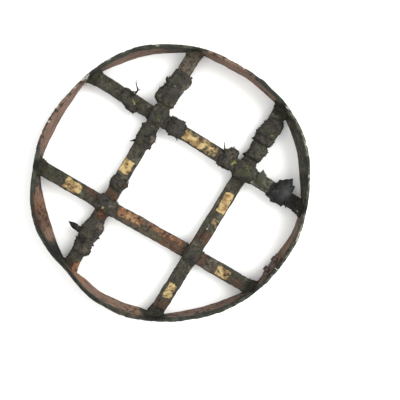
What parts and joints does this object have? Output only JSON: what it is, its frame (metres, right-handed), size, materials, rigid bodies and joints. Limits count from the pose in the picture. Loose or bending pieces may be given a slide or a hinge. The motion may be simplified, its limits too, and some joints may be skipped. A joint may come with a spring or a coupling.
{
  "type": "lattice hoop",
  "caption": "round hoop of flat band closed by a woven lattice of flat bars, aged to look like rusty iron and hung with hardened lumps, leaves and twigs",
  "frame": {"origin": "the middle of the rear edge of the hoop, on the plane it stands on", "axes": "+Z runs through the hoop from its rear edge to its round front edge, X along the two cross bars, Y along the two uprights"},
  "size_m": [0.264, 0.264, 0.025],
  "materials": {
    "aged_band": "painted dark and rust brown, worn to pale chips along the front edge",
    "painted_bar": "rough dark paint with moss green and rust stains, worn to ochre wood in patches",
    "growth": "hardened crumbly pulp, dark green and black, matte",
    "dry_leaf": "stiff black leaf pieces, matte",
    "twig": "dry bark",
    "filler": "rough filler, stained dark and rust brown",
    "iron_fastener": "dull dark iron",
    "splice_sheet": "thin sheet, dulled"
  },
  "bodies": {
    "root": {"bar_end_pins": "iron_fastener", "bundle_hook_twig": "twig", "crossing_rivets": "iron_fastener", "foot_spike": "twig", "hoop_band": "aged_band", "leaf_bundle": "dry_leaf", "left_upright_bar": "painted_bar", "left_upright_collar": "growth", "left_upright_foot": "growth", "left_upright_swelling": "growth", "left_upright_top_knot": "growth", "lower_cross_bar": "painted_bar", "lower_left_crossing_lump": "growth", "lower_right_crossing_lump": "growth", "mid_knot_bristle": "twig", "putty_left_upright_foot": "filler", "putty_left_upright_top": "filler", "putty_lower_cross_left": "filler", "putty_lower_cross_right": "filler", "putty_right_upright_foot": "filler", "putty_right_upright_top": "filler", "putty_upper_cross_left": "filler", "putty_upper_cross_right": "filler", "right_upright_bar": "painted_bar", "right_upright_lump": "growth", "right_upright_sleeve": "growth", "splice_plate": "splice_sheet", "splice_rivets": "iron_fastener", "swelling_thorn": "twig", "top_knot_thorn": "twig", "upper_cross_bar": "painted_bar", "upper_cross_flap": "dry_leaf", "upper_cross_inner_knot": "growth", "upper_cross_mid_knot": "growth", "upper_cross_twig": "twig", "upper_cross_twig_knot": "growth", "upper_left_crossing_lump": "growth", "upper_right_crossing_lump": "growth"}
  },
  "joints": []
}
